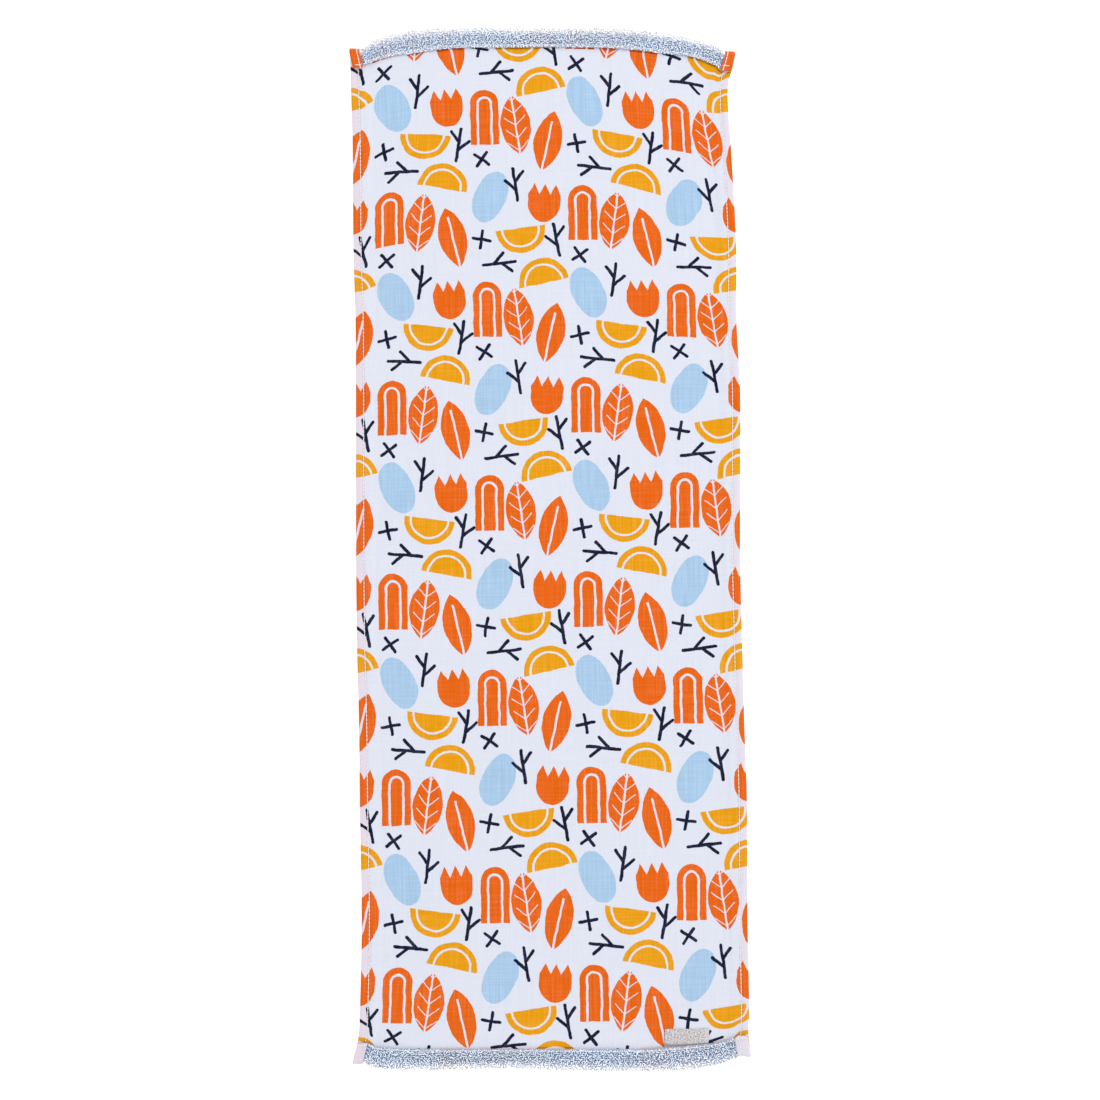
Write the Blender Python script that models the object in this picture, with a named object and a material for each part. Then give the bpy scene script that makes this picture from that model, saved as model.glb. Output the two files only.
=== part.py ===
"""A face towel lying flat, face up: gauze on its face and terry pile on its back.

It is made the way the real one is. One length of cloth is cut flat. Its long
sides are folded under and sewn, then its short ends are folded over onto the
face and sewn, with a small woven label caught under the hem at one end.

Metres, +Z up. X runs across the towel and Y along it. The origin is the centre
of the box round the towel, at the surface it lies on.
"""

import math

import bmesh
import bpy

# The towel, finished, from fold to fold.
WIDTH = 0.331
LENGTH = 0.900
HALF_WIDTH = WIDTH / 2
HALF_LENGTH = LENGTH / 2

# The cloth, and how far its hems are folded back.
BODY_THICKNESS = 0.0020
HEM_THICKNESS = 0.0016
LAYER_GAP = 0.0003
SIDE_HEM = 0.0090
TOP_HEM = 0.0176
BOTTOM_HEM = 0.0182

# A fold turns about the middle of the gap between its two layers.
FOLD_RISE = HEM_THICKNESS + LAYER_GAP
FOLD_RADIUS = FOLD_RISE / 2
FOLD_LENGTH = math.pi * FOLD_RADIUS
FOLD_REACH = FOLD_RADIUS + HEM_THICKNESS / 2
SIDE_FLAT = HALF_WIDTH - FOLD_REACH
END_FLAT = HALF_LENGTH - FOLD_REACH

# The cloth comes down off a side hem, and swells off a pressed hem, over these widths.
SIDE_EASE = 0.009
PRESS_EASE = 0.004
HEM_MARGIN = 0.0005

# The last bit of a cut edge is thinner, which rounds it.
CUT_EDGE = 0.0004
CUT_EDGE_SHARE = 0.5

# The label lies on the face, its tail caught under the hem at the bottom end.
LABEL_WIDTH = 0.038
LABEL_SHOWN = 0.0155
LABEL_TAIL = 0.005
LABEL_THICKNESS = 0.0005
LABEL_X = 0.1123
LABEL_TURN = math.radians(-2.4)
LABEL_MARGIN = 0.004
LABEL_EASE = 0.022

# How wide the towel lies to the left and right of its middle, along its length.
OUTLINE_COLUMNS = ("y", "left", "right")
OUTLINE = (
    (-0.450, 0.1724, 0.1664),
    (-0.430, 0.1678, 0.1648),
    (-0.400, 0.1658, 0.1658),
    (-0.320, 0.1635, 0.1658),
    (-0.225, 0.1641, 0.1672),
    (-0.150, 0.1642, 0.1661),
    (-0.090, 0.1652, 0.1657),
    (-0.015, 0.1653, 0.1653),
    (0.130, 0.1641, 0.1680),
    (0.200, 0.1638, 0.1659),
    (0.265, 0.1650, 0.1670),
    (0.360, 0.1648, 0.1641),
    (0.405, 0.1656, 0.1620),
    (0.425, 0.1659, 0.1634),
    (0.437, 0.1662, 0.1668),
    (0.450, 0.1669, 0.1693),
)

# Each end bows: it slopes a little across the towel and falls back towards its corners, by a
# power of the distance from the middle. The bow dies away over its reach into the towel. Across
# a corner's side hem it falls no further, because four stiff layers are sewn together there.
BOW_COLUMNS = ("end", "reach", "slope", "left_drop", "left_power", "right_drop", "right_power")
BOWS = (
    ("top", 0.40, -0.010, 0.0249, 5.8, 0.0228, 3.0),
    ("bottom", 0.06, -0.020, 0.0090, 12.0, 0.0202, 6.2),
)
STRIP_SHARE = 1 - SIDE_HEM / HALF_WIDTH

# The fold of an end hem is also drawn in a little, in long waves as wide as the hem is deep.
WAVE_COLUMNS = ("end", "x", "half_width", "depth")
WAVES = (
    ("top", 0.005, 0.070, 0.0010),
    ("bottom", -0.038, 0.066, 0.0017),
)
WAVE_REACH = 0.020

# The end hems aren't equally deep all along: their cut edges wander, while their folds stay.
DEPTH_COLUMNS = ("end", "x", "half_width", "deeper")
DEPTHS = (
    ("top", -0.112, 0.042, 0.0028),
    ("top", 0.133, 0.030, -0.0024),
    ("bottom", 0.118, 0.050, 0.0017),
)

# In each corner the sewn side hem is drawn in along the towel by its pull, which dies away over
# its ease across the towel and its reach along it. The outer edge is let out a little. Where the
# hem is turned over the face, it slants inwards by its slant, and is its strip times as wide.
CORNER_COLUMNS = ("end", "side", "pull", "ease", "reach", "let_out", "slant", "strip")
CORNERS = (
    ("top", "left", 0.0024, 0.0040, 0.032, 0.0006, 0.15, 1.00),
    ("top", "right", 0.0044, 0.0050, 0.050, -0.0008, 0.08, 0.97),
    ("bottom", "left", 0.0024, 0.0060, 0.050, 0.0008, 0.00, 0.96),
    ("bottom", "right", 0.0012, 0.0025, 0.050, 0.0016, 0.06, 1.30),
)
SLANT_EASE = 0.020

# Low, soft swells where the cloth isn't quite flat on the surface.
SWELL_COLUMNS = ("x", "y", "half_width", "half_length", "height")
SWELLS = (
    (-0.082, 0.318, 0.050, 0.095, 0.0011),
    (0.086, 0.196, 0.044, 0.120, 0.0008),
    (-0.090, -0.215, 0.046, 0.130, 0.0010),
    (0.078, -0.322, 0.052, 0.070, 0.0009),
)

# Stations of the flat cloth in each zone, from the middle of the towel to its cut edge.
MIDDLE_STEPS_ACROSS = 6
MIDDLE_STEPS_ALONG = 13
EASE_STEPS = 3
HEM_STEPS = 2
FOLD_STEPS = 4
RETURN_STEPS = 2

CLOTH_COLOUR = (0.78, 0.82, 0.90, 1.0)
CLOTH_ROUGHNESS = 0.9
LABEL_COLOUR = (0.58, 0.55, 0.55, 1.0)
LABEL_ROUGHNESS = 0.7


def smooth(share):
    """Rises from 0 to 1 with level ends."""
    share = min(max(share, 0.0), 1.0)
    return share * share * (3 - 2 * share)


def table_rows(columns, rows):
    return [dict(zip(columns, row)) for row in rows]


def through(rows, key, value, at):
    """The smooth curve through a table's points: a cubic between each pair of rows."""
    at = min(max(at, rows[0][key]), rows[-1][key])
    upper = next(i for i in range(1, len(rows)) if at <= rows[i][key])
    before, low, high, after = (
        rows[min(max(upper + step, 0), len(rows) - 1)] for step in (-2, -1, 0, 1)
    )
    span = high[key] - low[key]
    low_slope = (high[value] - before[value]) / (high[key] - before[key]) * span
    high_slope = (after[value] - low[value]) / (after[key] - low[key]) * span
    k = (at - low[key]) / span
    return (
        low[value] * (1 + 2 * k) * (1 - k) ** 2
        + high[value] * (3 - 2 * k) * k**2
        + low_slope * k * (1 - k) ** 2
        - high_slope * (1 - k) * k**2
    )


def end_hem(y):
    return TOP_HEM if y > 0 else BOTTOM_HEM


def pressed(x, y):
    """1 in the hems, 0 in the body."""
    across = (abs(x) - (HALF_WIDTH - SIDE_HEM - HEM_MARGIN - PRESS_EASE)) / PRESS_EASE
    along = (abs(y) - (HALF_LENGTH - end_hem(y) - HEM_MARGIN - PRESS_EASE)) / PRESS_EASE
    return max(smooth(across), smooth(along))


def thickness(x, y):
    return BODY_THICKNESS - (BODY_THICKNESS - HEM_THICKNESS) * pressed(x, y)


def swell(x, y):
    height = 0.0
    for row in table_rows(SWELL_COLUMNS, SWELLS):
        far = math.hypot((x - row["x"]) / row["half_width"], (y - row["y"]) / row["half_length"])
        height += row["height"] * smooth(1 - far)
    return height


def lift(x, y):
    """How high the underside of the main layer lies: on the side hems, and over the swells."""
    edge = HALF_WIDTH - SIDE_HEM - HEM_MARGIN
    return FOLD_RISE * smooth((abs(x) - (edge - SIDE_EASE)) / SIDE_EASE) + swell(x, y)


def label_room(x, y):
    """How much higher the bottom hem's upper layer lies over the label's tail."""
    if y > 0:
        return 0.0
    past = abs(x - LABEL_X) - (LABEL_WIDTH / 2 + LABEL_MARGIN)
    return (LABEL_THICKNESS + LAYER_GAP) * smooth(1 - past / LABEL_EASE)


def fold_under(s, n):
    """Folds a side hem under: flat distance s and height n to distance and height."""
    past = abs(s) - SIDE_FLAT
    if past <= 0:
        return s, n
    if past < FOLD_LENGTH:
        turn = past / FOLD_RADIUS
        reach = FOLD_RADIUS + n
        return math.copysign(SIDE_FLAT + reach * math.sin(turn), s), reach * math.cos(turn) - FOLD_RADIUS
    return math.copysign(SIDE_FLAT - (past - FOLD_LENGTH), s), -FOLD_RISE - n


def fold_over(t, n):
    """Folds an end hem over the face: also says how far round the fold the point is, 0 to 1."""
    past = abs(t) - END_FLAT
    if past <= 0:
        return t, n, 0.0
    if past < FOLD_LENGTH:
        turn = past / FOLD_RADIUS
        reach = FOLD_RADIUS - n
        y = math.copysign(END_FLAT + reach * math.sin(turn), t)
        return y, FOLD_RADIUS - reach * math.cos(turn), (1 - math.cos(turn)) / 2
    return math.copysign(END_FLAT - (past - FOLD_LENGTH), t), FOLD_RISE - n, 1.0


def end_sign(row):
    return 1 if row["end"] == "top" else -1


def side_of(x):
    return "left" if x < 0 else "right"


def corner_at(x, y):
    """The row of the corner that a point is nearest to."""
    place = ("top" if y > 0 else "bottom", side_of(x))
    return next(row for row in table_rows(CORNER_COLUMNS, CORNERS) if (row["end"], row["side"]) == place)


def corner_pull(x, y):
    """How far a point moves in along the towel with the layers sewn together in its corner."""
    row = corner_at(x, y)
    into_hem = abs(x) - (HALF_WIDTH - SIDE_HEM)
    held = smooth(1 - (HALF_LENGTH - abs(y)) / row["reach"])
    pulled = smooth(1 + into_hem / row["ease"]) * row["pull"]
    return held * (pulled - row["let_out"] * max(into_hem, 0.0) / SIDE_HEM)


def bow(x, y):
    """How far a point moves along the towel: with the bow and the waves of its ends, and the pull
    in its corners."""
    moved = -math.copysign(corner_pull(x, y), y)
    for row in table_rows(BOW_COLUMNS, BOWS):
        end = end_sign(row)
        held = 1 - smooth((HALF_LENGTH - end * y) / row["reach"])
        side = side_of(x)
        share = min(abs(x / HALF_WIDTH), STRIP_SHARE)
        drop = row[side + "_drop"] * share ** row[side + "_power"]
        moved += held * (row["slope"] * x - end * drop)
    for row in table_rows(WAVE_COLUMNS, WAVES):
        end = end_sign(row)
        held = smooth(1 - (HALF_LENGTH - end * y) / WAVE_REACH)
        moved -= end * held * row["depth"] * smooth(1 - abs(x - row["x"]) / row["half_width"])
    return moved


def turned_corner(s, t, x):
    """How far outwards a point of a turned-over corner moves: its strip narrows towards its outer
    edge, and the layer slants in, the more the further it is from the fold."""
    row = corner_at(s, t)
    turned = max(abs(t) - END_FLAT - FOLD_LENGTH, 0.0)
    back = max(abs(s) - SIDE_FLAT - FOLD_LENGTH, 0.0)
    near_side = smooth((abs(x) - (HALF_WIDTH - SIDE_HEM - SLANT_EASE)) / SLANT_EASE)
    over = smooth((abs(t) - END_FLAT) / FOLD_LENGTH)
    return (1 - row["strip"]) * back * over - row["slant"] * turned * near_side


def hem_depth(x, t):
    """How far a point of a turned-over hem moves along the towel, where the hem is deeper."""
    turned = max(abs(t) - END_FLAT - FOLD_LENGTH, 0.0) / end_hem(t)
    moved = 0.0
    for row in table_rows(DEPTH_COLUMNS, DEPTHS):
        if end_sign(row) * t > 0:
            moved -= row["deeper"] * smooth(1 - abs(x - row["x"]) / row["half_width"]) * turned
    return math.copysign(1, t) * moved


def outline(x, y):
    """Moves a point of the straight towel to where the uneven one has it."""
    wide = through(table_rows(OUTLINE_COLUMNS, OUTLINE), "y", side_of(x), y)
    return x * wide / HALF_WIDTH, y + bow(x, y)


def laid(s, t, n):
    """Where a point of the flat cloth, n above its middle, ends up on the finished towel."""
    x, height = fold_under(s, n)
    y, height, over = fold_over(t, height)
    z = thickness(x, y) / 2 + lift(x, y) + height + over * label_room(x, y)
    return (*outline(x + math.copysign(turned_corner(s, t, x), s), y + hem_depth(x, t)), z)


def zone_stations(zones):
    """Stations from 0 through each zone, given as (end, steps)."""
    found = [0.0]
    for end, steps in zones:
        start = found[-1]
        found += [start + (end - start) * (i + 1) / steps for i in range(steps)]
    return found


def half_stations(flat, hem_edge, ease, middle_steps):
    """Stations of the flat cloth from the towel's middle to a cut edge."""
    cut = flat + FOLD_LENGTH + flat - hem_edge
    return zone_stations(
        (
            (hem_edge - HEM_MARGIN - ease, middle_steps),
            (hem_edge - HEM_MARGIN, EASE_STEPS),
            (flat, HEM_STEPS),
            (flat + FOLD_LENGTH, FOLD_STEPS),
            (cut - CUT_EDGE, RETURN_STEPS),
            (cut, 1),
        )
    )


def closed_slab(across, along, place):
    """A closed body on two grids of points, place(s, t, side) with side -1 below and 1 above."""
    bm = bmesh.new()
    layers = {
        side: [[bm.verts.new(place(s, t, side)) for s in across] for t in along] for side in (-1, 1)
    }
    last_s, last_t = len(across) - 1, len(along) - 1
    for side, grid in layers.items():
        for j in range(last_t):
            for i in range(last_s):
                corners = [grid[j][i], grid[j][i + 1], grid[j + 1][i + 1], grid[j + 1][i]]
                bm.faces.new(corners[::side])
    rim = [(i, 0) for i in range(last_s)]
    rim += [(last_s, j) for j in range(last_t)]
    rim += [(i, last_t) for i in range(last_s, 0, -1)]
    rim += [(0, j) for j in range(last_t, 0, -1)]
    for (i, j), (next_i, next_j) in zip(rim, rim[1:] + rim[:1]):
        below, above = layers[-1], layers[1]
        bm.faces.new((below[j][i], below[next_j][next_i], above[next_j][next_i], above[j][i]))
    bm.normal_update()
    return bm


def towel_cloth():
    """The cloth, cut flat with its hem allowances, then folded and laid."""
    right = half_stations(SIDE_FLAT, HALF_WIDTH - SIDE_HEM, SIDE_EASE, MIDDLE_STEPS_ACROSS)
    top = half_stations(END_FLAT, HALF_LENGTH - TOP_HEM, PRESS_EASE, MIDDLE_STEPS_ALONG)
    bottom = half_stations(END_FLAT, HALF_LENGTH - BOTTOM_HEM, PRESS_EASE, MIDDLE_STEPS_ALONG)
    across = [-s for s in reversed(right[1:])] + right
    along = [-t for t in reversed(bottom[1:])] + top

    def place(s, t, side):
        at_cut_edge = s in (across[0], across[-1]) or t in (along[0], along[-1])
        share = CUT_EDGE_SHARE if at_cut_edge else 1.0
        x, _ = fold_under(s, 0)
        y, _, _ = fold_over(t, 0)
        return laid(s, t, side * share * thickness(x, y) / 2)

    return closed_slab(across, along, place)


def label():
    """The label, laid on the face with its tail under the bottom hem."""
    length = LABEL_SHOWN + LABEL_TAIL
    middle_t = BOTTOM_HEM - HALF_LENGTH - LABEL_TAIL + length / 2
    across = [LABEL_WIDTH * (i / 8 - 0.5) for i in range(9)]
    along = [length * (j / 8 - 0.5) for j in range(9)]

    def place(a, b, side):
        s = LABEL_X + a * math.cos(LABEL_TURN) - b * math.sin(LABEL_TURN)
        t = middle_t + a * math.sin(LABEL_TURN) + b * math.cos(LABEL_TURN)
        above_face = LAYER_GAP + LABEL_THICKNESS * (side + 1) / 2
        return laid(s, t, thickness(s, t) / 2 + above_face)

    return closed_slab(across, along, place)


def material(name, colour, roughness):
    made = bpy.data.materials.new(name)
    made.use_nodes = True
    shader = made.node_tree.nodes["Principled BSDF"]
    shader.inputs["Base Color"].default_value = colour
    shader.inputs["Roughness"].default_value = roughness
    shader.inputs["Metallic"].default_value = 0.0
    return made


def add_object(name, bm, shift, surface):
    """Moves a body by the shift, and puts it in the scene under the name."""
    bmesh.ops.translate(bm, vec=shift, verts=bm.verts)
    mesh = bpy.data.meshes.new(name)
    bm.to_mesh(mesh)
    bm.free()
    mesh.shade_smooth()
    mesh.set_sharp_from_angle(angle=math.radians(50))
    mesh.materials.append(surface)
    made = bpy.data.objects.new(name, mesh)
    bpy.context.scene.collection.objects.link(made)
    return made


def main():
    for old in list(bpy.data.objects):
        bpy.data.objects.remove(old)
    cloth = towel_cloth()
    lows, highs = zip(*((min(axis), max(axis)) for axis in zip(*(v.co for v in cloth.verts))))
    shift = (-(lows[0] + highs[0]) / 2, -(lows[1] + highs[1]) / 2, -lows[2])
    add_object("towel_cloth", cloth, shift, material("towel_cloth", CLOTH_COLOUR, CLOTH_ROUGHNESS))
    add_object("label", label(), shift, material("label", LABEL_COLOUR, LABEL_ROUGHNESS))


main()
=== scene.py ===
# %% [markdown]
# # A printed gauze and terry face towel, laid flat
#
# The towel is one length of cloth, woven as two layers: a fine gauze that is printed, and a
# light-blue terry with loops. Its long sides are folded under and sewn. Then its short ends are
# folded over onto the face and sewn, so the terry shows there as two bands, and the sewn side
# hems show in the four corners as small turned-over strips of gauze.
#
# A fixed frame holds the towel's solids at real size. Everything below is made in that frame, in
# metres, with X across the towel, Y along it and Z up.

# %% Load the frame
import math

import bpy
import numpy as np
from mathutils import Euler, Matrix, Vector


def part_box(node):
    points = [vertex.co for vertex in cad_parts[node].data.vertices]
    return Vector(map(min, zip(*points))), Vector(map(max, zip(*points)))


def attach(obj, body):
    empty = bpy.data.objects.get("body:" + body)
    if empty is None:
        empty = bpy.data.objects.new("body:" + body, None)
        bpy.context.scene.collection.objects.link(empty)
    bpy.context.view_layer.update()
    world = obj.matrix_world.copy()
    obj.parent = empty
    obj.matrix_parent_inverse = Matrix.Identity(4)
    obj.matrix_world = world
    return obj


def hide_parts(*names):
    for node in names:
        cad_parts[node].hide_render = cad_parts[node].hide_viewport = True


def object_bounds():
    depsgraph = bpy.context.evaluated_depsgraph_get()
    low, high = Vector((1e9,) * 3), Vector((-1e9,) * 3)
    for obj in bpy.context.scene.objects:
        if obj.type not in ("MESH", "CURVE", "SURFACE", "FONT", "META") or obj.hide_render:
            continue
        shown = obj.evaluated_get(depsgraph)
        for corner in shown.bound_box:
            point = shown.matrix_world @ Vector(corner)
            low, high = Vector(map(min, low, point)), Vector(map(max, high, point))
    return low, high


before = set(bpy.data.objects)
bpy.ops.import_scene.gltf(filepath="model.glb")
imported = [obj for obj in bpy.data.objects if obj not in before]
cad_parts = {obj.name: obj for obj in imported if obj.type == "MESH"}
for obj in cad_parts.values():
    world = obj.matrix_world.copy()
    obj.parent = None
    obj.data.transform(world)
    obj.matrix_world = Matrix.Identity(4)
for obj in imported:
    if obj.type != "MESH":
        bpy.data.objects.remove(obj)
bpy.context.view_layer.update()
cloth_low, cloth_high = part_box("towel_cloth")
print("cloth in the frame, mm:", [round(1000 * (h - l), 1) for l, h in zip(cloth_low, cloth_high)])

# %% [markdown]
# ## The sizes of the cloth
#
# These are the sizes a maker would write on the pattern. The cloth is thinner where a hem is
# pressed and sewn, and two layers of a hem lie a little apart.

# %% Sizes
MM = 0.001
HALF_WIDTH = 165.5 * MM
HALF_LENGTH = 450 * MM
BODY_THICKNESS = 2.0 * MM
HEM_THICKNESS = 1.6 * MM
LAYER_GAP = 0.3 * MM
SIDE_HEM = 9.0 * MM
TOP_HEM = 17.6 * MM
BOTTOM_HEM = 18.2 * MM
SIDE_SEAM = 6.7 * MM
END_SEAM = 1.9 * MM
HEM_MARGIN = 0.5 * MM
SIDE_EASE = 9 * MM
PRESS_EASE = 4 * MM

FOLD_RISE = HEM_THICKNESS + LAYER_GAP
FOLD_RADIUS = FOLD_RISE / 2
FOLD_LENGTH = math.pi * FOLD_RADIUS
SIDE_FLAT = HALF_WIDTH - FOLD_RADIUS - HEM_THICKNESS / 2
END_FLAT = HALF_LENGTH - FOLD_RADIUS - HEM_THICKNESS / 2
SIDE_CUT = 2 * SIDE_FLAT + FOLD_LENGTH - (HALF_WIDTH - SIDE_HEM)
TOP_CUT = 2 * END_FLAT + FOLD_LENGTH - (HALF_LENGTH - TOP_HEM)
BOTTOM_CUT = 2 * END_FLAT + FOLD_LENGTH - (HALF_LENGTH - BOTTOM_HEM)
print("the cloth is cut to", round(2 * SIDE_CUT, 4), "by", round(TOP_CUT + BOTTOM_CUT, 4), "m")

INNER_TOP = HALF_LENGTH - TOP_HEM
INNER_BOTTOM = HALF_LENGTH - BOTTOM_HEM
SEAM_S = HALF_WIDTH - SIDE_SEAM
STRIP_START = SIDE_FLAT + FOLD_LENGTH
STRIP_SEAM_S = 2 * SIDE_FLAT + FOLD_LENGTH - SEAM_S

LABEL_X = 112.3 * MM
LABEL_WIDTH = 38 * MM
LABEL_SHOWN = 15.5 * MM
LABEL_TAIL = 5 * MM
LABEL_THICKNESS = 0.5 * MM
LABEL_TURN = math.radians(-2.4)
LABEL_MARGIN = 4 * MM
LABEL_EASE = 22 * MM

# %% [markdown]
# ## The uneven outline
#
# No towel lies as a true rectangle. Its sides wander by a millimetre or two, its ends bow, and
# each corner flares or is drawn in by its sewing. Short tables hold this: how far out the sides
# lie, how each end bows and waves, where a turned-over hem is deeper, how each corner is sewn, and
# where the body swells a little. Smooth curves and bells are drawn from their rows.

# %% Tables of the outline
def table(columns, rows):
    """The rows of a table, each as a dictionary of its named columns."""
    return [dict(zip(columns, row)) for row in rows]


SIDE_COLUMNS = ("y", "left", "right")
SIDE_ROWS = (
    (-450, 172.4, 166.4),
    (-430, 167.8, 164.8),
    (-400, 165.8, 165.8),
    (-320, 163.5, 165.8),
    (-225, 164.1, 167.2),
    (-150, 164.2, 166.1),
    (-90, 165.2, 165.7),
    (-15, 165.3, 165.3),
    (130, 164.1, 168.0),
    (200, 163.8, 165.9),
    (265, 165.0, 167.0),
    (360, 164.8, 164.1),
    (405, 165.6, 162.0),
    (425, 165.9, 163.4),
    (437, 166.2, 166.8),
    (450, 166.9, 169.3),
)
SIDES = dict(zip(SIDE_COLUMNS, (np.array(SIDE_ROWS) * MM).T))

BOWS = table(
    ("end", "reach", "slope", "left_drop", "left_power", "right_drop", "right_power"),
    (
        (1, 400 * MM, -0.010, 24.9 * MM, 5.8, 22.8 * MM, 3.0),
        (-1, 60 * MM, -0.020, 9.0 * MM, 12.0, 20.2 * MM, 6.2),
    ),
)
STRIP_SHARE = 1 - SIDE_HEM / HALF_WIDTH

WAVES = table(
    ("end", "x", "half_width", "depth"),
    (
        (1, 5 * MM, 70 * MM, 1.0 * MM),
        (-1, -38 * MM, 66 * MM, 1.7 * MM),
    ),
)
WAVE_REACH = 20 * MM

DEPTHS = table(
    ("end", "x", "half_width", "deeper"),
    (
        (1, -112 * MM, 42 * MM, 2.8 * MM),
        (1, 133 * MM, 30 * MM, -2.4 * MM),
        (-1, 118 * MM, 50 * MM, 1.7 * MM),
    ),
)

CORNERS = table(
    ("end", "side", "pull", "ease", "reach", "let_out", "slant", "strip"),
    (
        (1, -1, 2.4 * MM, 4.0 * MM, 32 * MM, 0.6 * MM, 0.15, 1.00),
        (1, 1, 4.4 * MM, 5.0 * MM, 50 * MM, -0.8 * MM, 0.08, 0.97),
        (-1, -1, 2.4 * MM, 6.0 * MM, 50 * MM, 0.8 * MM, 0.00, 0.96),
        (-1, 1, 1.2 * MM, 2.5 * MM, 50 * MM, 1.6 * MM, 0.06, 1.30),
    ),
)
SLANT_EASE = 20 * MM

SWELL_ROWS = (
    (-82, 318, 50, 95, 1.1),
    (86, 196, 44, 120, 0.8),
    (-90, -215, 46, 130, 1.0),
    (78, -322, 52, 70, 0.9),
)
SWELLS = table(("x", "y", "half_width", "half_length", "height"), np.array(SWELL_ROWS) * MM)
print("the sides have", len(SIDE_ROWS), "places, and the ends", len(BOWS + WAVES + DEPTHS), "bends")


# %% Smooth steps and curves
def smooth(share):
    """A ramp from 0 to 1 with level ends: three of the share squared, less two of it cubed."""
    share = np.clip(share, 0.0, 1.0)
    return share * share * (3 - 2 * share)


def through(knots, values, at):
    """A cubic through the knots. At each one, its slope is that of the line joining its neighbours."""
    at = np.clip(at, knots[0], knots[-1])
    order = np.arange(len(knots))
    before, after = np.maximum(order - 1, 0), np.minimum(order + 1, len(knots) - 1)
    slopes = (values[after] - values[before]) / (knots[after] - knots[before])
    i = np.clip(np.searchsorted(knots, at) - 1, 0, len(knots) - 2)
    span = knots[i + 1] - knots[i]
    k = (at - knots[i]) / span
    return (
        values[i] * (1 + 2 * k) * (1 - k) ** 2
        + values[i + 1] * (3 - 2 * k) * k**2
        + slopes[i] * span * k * (1 - k) ** 2
        - slopes[i + 1] * span * (1 - k) * k**2
    )


# %% [markdown]
# ## Folding the cloth
#
# Every piece of this towel is thought of flat first: a point of it is s across and t along the
# cut cloth, and n above the cloth's middle. One function then folds and lays that point. It turns
# the sides under, turns the ends over, lifts the cloth where it lies on a hem, and moves it to the
# uneven outline. Pile, thread and cloth all go through it, so they stay together at every fold.

# %% Heights
def end_hem(y):
    return np.where(y > 0, TOP_HEM, BOTTOM_HEM)


def pressed(x, y):
    """1 in the hems and 0 in the body, with a smooth ramp between."""
    across = (np.abs(x) - (HALF_WIDTH - SIDE_HEM - HEM_MARGIN - PRESS_EASE)) / PRESS_EASE
    along = (np.abs(y) - (HALF_LENGTH - end_hem(y) - HEM_MARGIN - PRESS_EASE)) / PRESS_EASE
    return np.maximum(smooth(across), smooth(along))


def thickness(x, y):
    return BODY_THICKNESS - (BODY_THICKNESS - HEM_THICKNESS) * pressed(x, y)


def lift(x, y):
    """How high the cloth's underside lies: one fold's rise over a side hem, and its low swells."""
    edge = HALF_WIDTH - SIDE_HEM - HEM_MARGIN
    height = FOLD_RISE * smooth((np.abs(x) - (edge - SIDE_EASE)) / SIDE_EASE)
    for swell in SWELLS:
        far = np.hypot((x - swell["x"]) / swell["half_width"], (y - swell["y"]) / swell["half_length"])
        height = height + swell["height"] * smooth(1 - far)
    return height


def label_room(x, y):
    """How much higher the bottom hem's upper layer lies over the tail of the label."""
    past = np.abs(x - LABEL_X) - (LABEL_WIDTH / 2 + LABEL_MARGIN)
    return np.where(y > 0, 0.0, (LABEL_THICKNESS + LAYER_GAP) * smooth(1 - past / LABEL_EASE))


# %% Folds
def past_fold(u, flat):
    """How far a point lies past the fold of its edge, on the turned layer."""
    return np.maximum(np.abs(u) - flat - FOLD_LENGTH, 0)


def round_fold(u, flat, reach):
    """Past the flat part a point goes round a half circle of its own reach, and past that it runs
    back, upside down. Gives its place, and how far round it is, from 0 to a half turn."""
    turn = np.clip((np.abs(u) - flat) / FOLD_RADIUS, 0, math.pi)
    place = np.minimum(np.abs(u), flat) + reach * np.sin(turn) - past_fold(u, flat)
    return np.sign(u) * place, turn


def fold_under(s, n):
    """Turns a side under. A point's reach is the fold's radius and its own height n."""
    reach = FOLD_RADIUS + n
    x, turn = round_fold(s, SIDE_FLAT, reach)
    return x, reach * np.cos(turn) - FOLD_RADIUS


def fold_over(t, n):
    """Turns an end over the face, in the same way but upwards. It also gives how far over the
    point is: 0 in the flat part, and 1 on the turned-over layer."""
    reach = FOLD_RADIUS - n
    y, turn = round_fold(t, END_FLAT, reach)
    return y, FOLD_RADIUS - reach * np.cos(turn), (1 - np.cos(turn)) / 2


def corner_values(s, t, column):
    """One column of the corners' table, for the corner that each point is nearest to."""
    found = np.zeros_like(s + t)
    for corner in CORNERS:
        here = (np.where(t > 0, 1, -1) == corner["end"]) & (np.where(s < 0, -1, 1) == corner["side"])
        found = np.where(here, corner[column], found)
    return found


def corner_pull(x, y):
    """How far a point moves in along the towel with the layers sewn together in its corner: by the
    corner's pull, which dies away over its ease and its reach, less what its edge is let out."""
    into_hem = np.abs(x) - (HALF_WIDTH - SIDE_HEM)
    held = smooth(1 - (HALF_LENGTH - np.abs(y)) / corner_values(x, y, "reach"))
    pulled = smooth(1 + into_hem / corner_values(x, y, "ease")) * corner_values(x, y, "pull")
    return held * (pulled - corner_values(x, y, "let_out") * np.maximum(into_hem, 0) / SIDE_HEM)


def share_across(x, place):
    """1 at a place's own x, and 0 from its half width on."""
    return smooth(1 - np.abs(x - place["x"]) / place["half_width"])


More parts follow.
